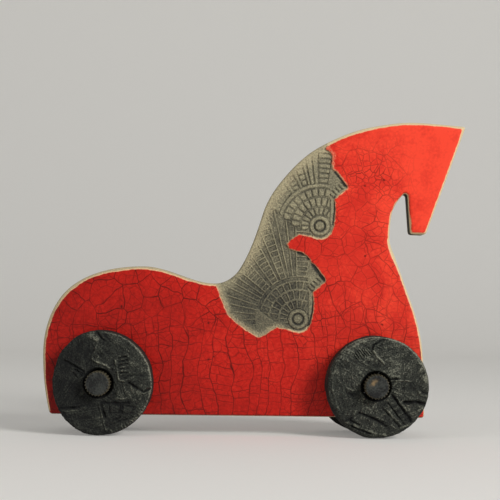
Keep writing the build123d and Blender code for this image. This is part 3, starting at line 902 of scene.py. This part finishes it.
class RAKUHORSE_OT_glaze_coats(Operator):
    """Makes the red glaze on both faces, which stops at the rim, the axle holes and the bare mane"""

    bl_idname = "rakuhorse.glaze_coats"
    bl_label = "Glaze Coats"

    def execute(self, context):
        glaze = context.scene.raku_horse_glaze
        outline, mane = slab_outline(), mane_line()
        way = np.linspace(0, 1, len(outline), endpoint=False)
        bare = np.interp(way, *np.transpose(RIM_WIDTHS)) * (1 + 0.22 * unevenness(*outline.T, 3.0, 41))
        line = outline + inward(outline) * bare[:, None]
        dip, top = nearest_index(line, mane[0]), nearest_index(line, mane[-1])
        rim_line = np.concatenate((line[top:], line[:dip + 1]))
        first, last = np.flatnonzero(inside(mane, line))[[0, -1]]
        mane = mane[first + 1:last]
        border = np.concatenate((rim_line, mane))
        rows = np.array((0.1, 0.25, 0.45, 0.7, 1.0))
        points, corners = filled([border, *axle_holes(HOLE_RADIUS + HOLE_MARGIN)], rows, GLAZE_SPACING)

        # The coat swells from its edge, which is set into the clay, along a quarter circle
        from_rim, from_mane = distance_to(points, rim_line), distance_to(points, mane)
        swell = np.minimum(np.clip(from_rim / 1.0, 0, 1), np.clip(from_mane / 0.45, 0, 1))
        stand = np.sqrt(1 - (1 - swell) ** 2)
        base = rim_depth(distance_to(points, closed(outline)))
        thickness = glaze.thickness / MM + GLAZE_SET_IN + 0.05 * unevenness(*points.T, 7.0, 42)
        outer = base - GLAZE_SET_IN + thickness * stand
        inner = base - GLAZE_ROOT

        # Cream edge: broad and soft where the mane meets the crest, narrow elsewhere and along the bare rim
        from_crest = rise(np.hypot(*(points - CREST_CORNER).T), 2.0, 7.0)
        upper = rise(points[:, 1], 100, 116)
        fade = 4.5 - 3.6 * from_crest + 0.5 * upper * from_crest
        edge = (0.36 + 0.24 * from_crest) * (1 - rise(from_mane, 0.0, fade))
        beside = np.flatnonzero(from_rim < 1)
        bare = bare[np.argmin(((points[beside, None] - outline) ** 2).sum(2), 1)]
        fringe = rise(bare, 0.1, 0.4) * (1 - rise(from_rim[beside], 0.0, 0.95))
        edge[beside] = np.maximum(edge[beside], fringe)
        material = raku_red_crackle_glaze(glaze)
        for side, near, far in (("near", -outer, -inner), ("far", inner, outer)):
            vertices, faces, stands_on = sheet(points, corners, near, far, wall_rows=1)
            place_piece(
                f"{side}_glaze_coat", vertices, faces, material, "horse", "red_crackle_glaze",
                f"{side}_glaze", edge=edge[stands_on],
            )
        return {"FINISHED"}


class RAKUHORSE_OT_dowel_axles(Operator):
    """Makes the two fluted dowels that carry the wheels"""

    bl_idname = "rakuhorse.dowel_axles"
    bl_label = "Dowel Axles"

    def execute(self, context):
        material = stained_beech_dowel(context.scene.raku_horse_wheels)
        columns = FLUTES * 10
        turn = np.arange(columns) * 2 * pi / columns
        flute = np.clip(1 - (np.sin(turn * FLUTES / 2) / 0.85) ** 2, 0, 1)
        end_reach = DOWEL_RADIUS - np.array((5.4, 4.6, 3.8, 3.0, 2.2, 1.5, 0.9, 0.45, 0.15, 0.0))
        end_depth = AXLE_END - np.array((0, 0, 0, 0, 0, 0, 0.02, 0.1, 0.25, 0.55))
        middle = np.linspace(AXLE_END - 1.2, 1.2 - AXLE_END, 24)
        reach = np.concatenate((end_reach, np.full(len(middle), DOWEL_RADIUS), end_reach[::-1]))[:, None]
        depth = np.concatenate((end_depth, middle, -end_depth[::-1]))[:, None]
        radius = reach - FLUTE_DEPTH * flute * rise(reach, 4.4, 5.6)
        across, up = radius * np.cos(turn), radius * np.sin(turn)
        at_end = np.abs(depth) > AXLE_END - 0.8
        last_ring = radius.size - columns
        faces = ring_faces(*radius.shape, False).tolist()
        faces += [list(range(columns))[::-1], list(range(last_ring, radius.size))]

        pale = np.broadcast_to(rise(reach, 5.1, 5.7), across.shape)
        from_spot = np.hypot(across + 1.6 - 0.5 * (up - 1.9), 0.7 * (up - 1.9))
        rubbed = (1 - rise(from_spot + 0.5 * unevenness(across, up, 0.8, 52), 0.3, 1.8)) * at_end
        for pair, axle in AXLES.items():
            dent = 0.12 * unevenness(across + axle, up, 2.0, 51) * at_end
            along = np.sign(depth) * (0.12 + dent) - depth
            vertices = np.stack((axle + across, along, AXLE_HEIGHT + up), -1).reshape(-1, 3)
            place_piece(
                f"{pair}_dowel", vertices, faces, material, f"{pair}_wheelset", "fluted_dowel",
                f"{pair}_axle", pale=pale.ravel(), rubbed=(rubbed * (pair == "front")).ravel(),
            )
        return {"FINISHED"}


class RAKUHORSE_OT_clay_wheels(Operator):
    """Makes the four stamped clay wheels"""

    bl_idname = "rakuhorse.clay_wheels"
    bl_label = "Clay Wheels"

    def execute(self, context):
        wheels = context.scene.raku_horse_wheels
        material = smoked_clay(
            "black_smoked_clay", wheels.black, wheels.charcoal, wheels.worn, wheels.worn, 0.6 * MM, 1.5
        )
        turn = np.arange(WHEEL_COLUMNS) * 2 * pi / WHEEL_COLUMNS
        for number, (side, pair) in enumerate((side, pair) for side in ("near", "far") for pair in AXLES):
            sharp_side, growth = BEVEL_GROWTH[pair]
            bevel = BEVEL_WIDTH + growth * (0.5 - 0.5 * np.cos(turn - radians(sharp_side)))
            reach, depth = wheel_section(bevel)
            across, up = reach * np.cos(turn), reach * np.sin(turn)
            outer = rise(depth, WHEEL_OUTER - 2.2, WHEEL_OUTER - 0.2)

            # Marks and roughness of the face, which is scored in its own direction in each of six sectors
            height = wheel_marks(across, up, *WHEEL_MARKS[pair])
            height *= 0.8 + 0.45 * unevenness(across, up, 2.4, 95)
            rough = sum(
                share * unevenness(across, up, size, seed + number)
                for share, size, seed in ((0.15, 3.2, 61), (0.12, 1.2, 71), (0.12, 0.6, 75))
            )
            scored = 2.4 * np.floor((turn + 0.4) / (pi / 3)) + number
            along = across * np.cos(scored) + up * np.sin(scored)
            beside = up * np.cos(scored) - across * np.sin(scored)
            rough += 0.2 * unevenness(0.15 * along, beside, 0.6, 65 + number)

            # Wear of the tread, and flats that take the wheel out of round
            wear = unevenness(across + 0.7 * depth, up - 0.4 * depth, 5.0, 81 + number)
            wear = 1.5 + wear + 0.5 * unevenness(across, up + depth, 1.3, 85 + number)
            wear = wheels.wear / MM * wear / 2
            flats = FLATS[f"{side}_{pair}"]
            flat = sum(deep * np.clip(np.cos(turn - radians(way)), 0, 1) ** 2 for way, deep in flats)
            radius = reach - wear * rise(reach, 20.0, WHEEL_RADIUS) - flat * (reach / WHEEL_RADIUS) ** 3
            sign = 1 if side == "far" else -1
            vertices = np.stack((
                AXLES[pair] + radius * np.cos(turn), sign * (depth + (1.4 * height + rough) * outer),
                AXLE_HEIGHT + radius * np.sin(turn),
            ), -1).reshape(-1, 3)
            faces = ring_faces(*radius.shape, True)[:, ::-sign]

            # Painted light: the face is lighter towards the key light's side, and a painted highlight runs
            # along that side's edge
            lit = np.cos(turn - radians(PAINTED_LIGHT_SIDE[pair]))
            plain, gain = WHEEL_TONE[pair]
            tone = plain + gain * lit * reach / WHEEL_RADIUS
            face_tone = 0.85 * np.clip(height, -0.6, 0.7) + 0.75 * rough + 0.06 * rise(reach, 20.5, 23.0)
            tone = tone + face_tone * outer - 0.22 * (1 - outer)
            tone += 0.45 * np.clip(lit, 0, 1) * bell(reach - 23.5, 0.35) * (depth > WHEEL_OUTER - 2.5)
            # Painted shade: the mouth round the dowel is darkened as the hole's shade
            tone -= 0.5 * (reach < MOUTH_RADIUS - 0.05)
            place_piece(
                f"{side}_{pair}_disc", vertices, faces.tolist(), material, f"{pair}_wheelset",
                "black_smoked_clay", f"{side}_{pair}_wheel", tone=tone.ravel(), pale=np.zeros(tone.size),
            )
        return {"FINISHED"}


class RAKUHORSE_OT_stage(Operator):
    """Makes the paper floor, the soft lights and the camera"""

    bl_idname = "rakuhorse.stage"
    bl_label = "Stage"

    def execute(self, context):
        scene = context.scene
        stage = scene.raku_horse_stage
        bend = np.linspace(0, pi / 2, 24)
        bend_back, bend_up = FLOOR_BACK + FLOOR_BEND * np.sin(bend), FLOOR_BEND - FLOOR_BEND * np.cos(bend)
        back = np.concatenate(((FLOOR_FRONT,), bend_back, (FLOOR_BACK + FLOOR_BEND,)))
        lift = np.concatenate(((0.0,), bend_up, (FLOOR_TOP,)))
        across = np.array((-FLOOR_HALF_WIDTH, FLOOR_HALF_WIDTH))[:, None] + 0 * back
        vertices = np.stack((across, back + 0 * across, lift + 0 * across), -1).reshape(-1, 3)
        count = len(back)
        index = np.arange(count - 1)
        quads = np.stack((index, index + count, index + count + 1, index + 1), 1)
        mesh = bpy.data.meshes.new("paper_floor")
        mesh.from_pydata(vertices.tolist(), [], quads.tolist())
        mesh.shade_smooth()
        material, tree, shader = new_material("matt_backdrop_paper")
        rays = node(tree, "LightPath").node.outputs
        seen = node(tree, "Math", [rays["Is Camera Ray"], rays["Is Glossy Ray"]], operation="ADD")
        glow = node(tree, "Math", [seen, 0.25], operation="MULTIPLY")
        colour = (*stage.floor, 1)
        feed(shader, {
            "Base Color": colour, "Roughness": 0.9, "Emission Color": colour, "Emission Strength": glow,
        })
        mesh.materials.append(material)
        floor = bpy.data.objects.new("paper_floor", mesh)
        scene.collection.objects.link(floor)

        for name, place, size, power in (
            ("key_light", (0.95, -1.1, 0.72), 0.6, stage.key),
            ("fill_light", (-1.2, -0.9, 0.5), 1.0, stage.fill),
        ):
            lamp = bpy.data.lights.new(name, "AREA")
            lamp.shape = "DISK"
            lamp.size = size
            lamp.energy = power
            light = bpy.data.objects.new(name, lamp)
            light.location = place
            light.rotation_euler = (Vector(LIGHT_TARGET) - Vector(place)).to_track_quat("-Z", "Y").to_euler()
            scene.collection.objects.link(light)
        world = bpy.data.worlds.new("soft_studio")
        world.use_nodes = True
        feed(world.node_tree.nodes["Background"], {"Color": (1.0, 1.0, 1.0, 1.0), "Strength": 0.22})
        scene.world = world
        scene.view_settings.view_transform = "Standard"

        camera = bpy.data.objects.new("camera", bpy.data.cameras.new("camera"))
        camera.data.lens = stage.lens
        camera.location = CAMERA_PLACE
        camera.rotation_euler = [radians(angle) for angle in CAMERA_TURN]
        scene.collection.objects.link(camera)
        scene.camera = camera
        return {"FINISHED"}


class VIEW3D_PT_raku_horse(Panel):
    """Lists the horse's pieces and their settings"""

    bl_label = "Raku Horse"
    bl_space_type = "VIEW_3D"
    bl_region_type = "UI"
    bl_category = "Raku Horse"

    def draw(self, context):
        for name, group, operators in STEPS:
            settings = getattr(context.scene, name)
            for setting in group.__annotations__:
                self.layout.prop(settings, setting)
            for operator in operators:
                self.layout.operator(operator.bl_idname)


STEPS = (  # the scene's name for the settings, their group, the operators that read them
    ("raku_horse_clay", HorseClay, (RAKUHORSE_OT_clay_slab,)),
    ("raku_horse_glaze", HorseGlaze, (RAKUHORSE_OT_glaze_coats,)),
    ("raku_horse_wheels", HorseWheels, (RAKUHORSE_OT_dowel_axles, RAKUHORSE_OT_clay_wheels)),
    ("raku_horse_stage", HorseStage, (RAKUHORSE_OT_stage,)),
)
CLASSES = (*(made for _, group, operators in STEPS for made in (group, *operators)), VIEW3D_PT_raku_horse)


def register():
    for made in CLASSES:
        bpy.utils.register_class(made)
    for name, group, _ in STEPS:
        setattr(bpy.types.Scene, name, PointerProperty(type=group))


def unregister():
    for name, _, _ in STEPS:
        delattr(bpy.types.Scene, name)
    for made in reversed(CLASSES):
        bpy.utils.unregister_class(made)


def main():
    register()
    bpy.ops.rakuhorse.clay_slab()
    bpy.ops.rakuhorse.glaze_coats()
    bpy.ops.rakuhorse.dowel_axles()
    bpy.ops.rakuhorse.clay_wheels()
    bpy.ops.rakuhorse.stage()


if __name__ == "__main__":
    main()
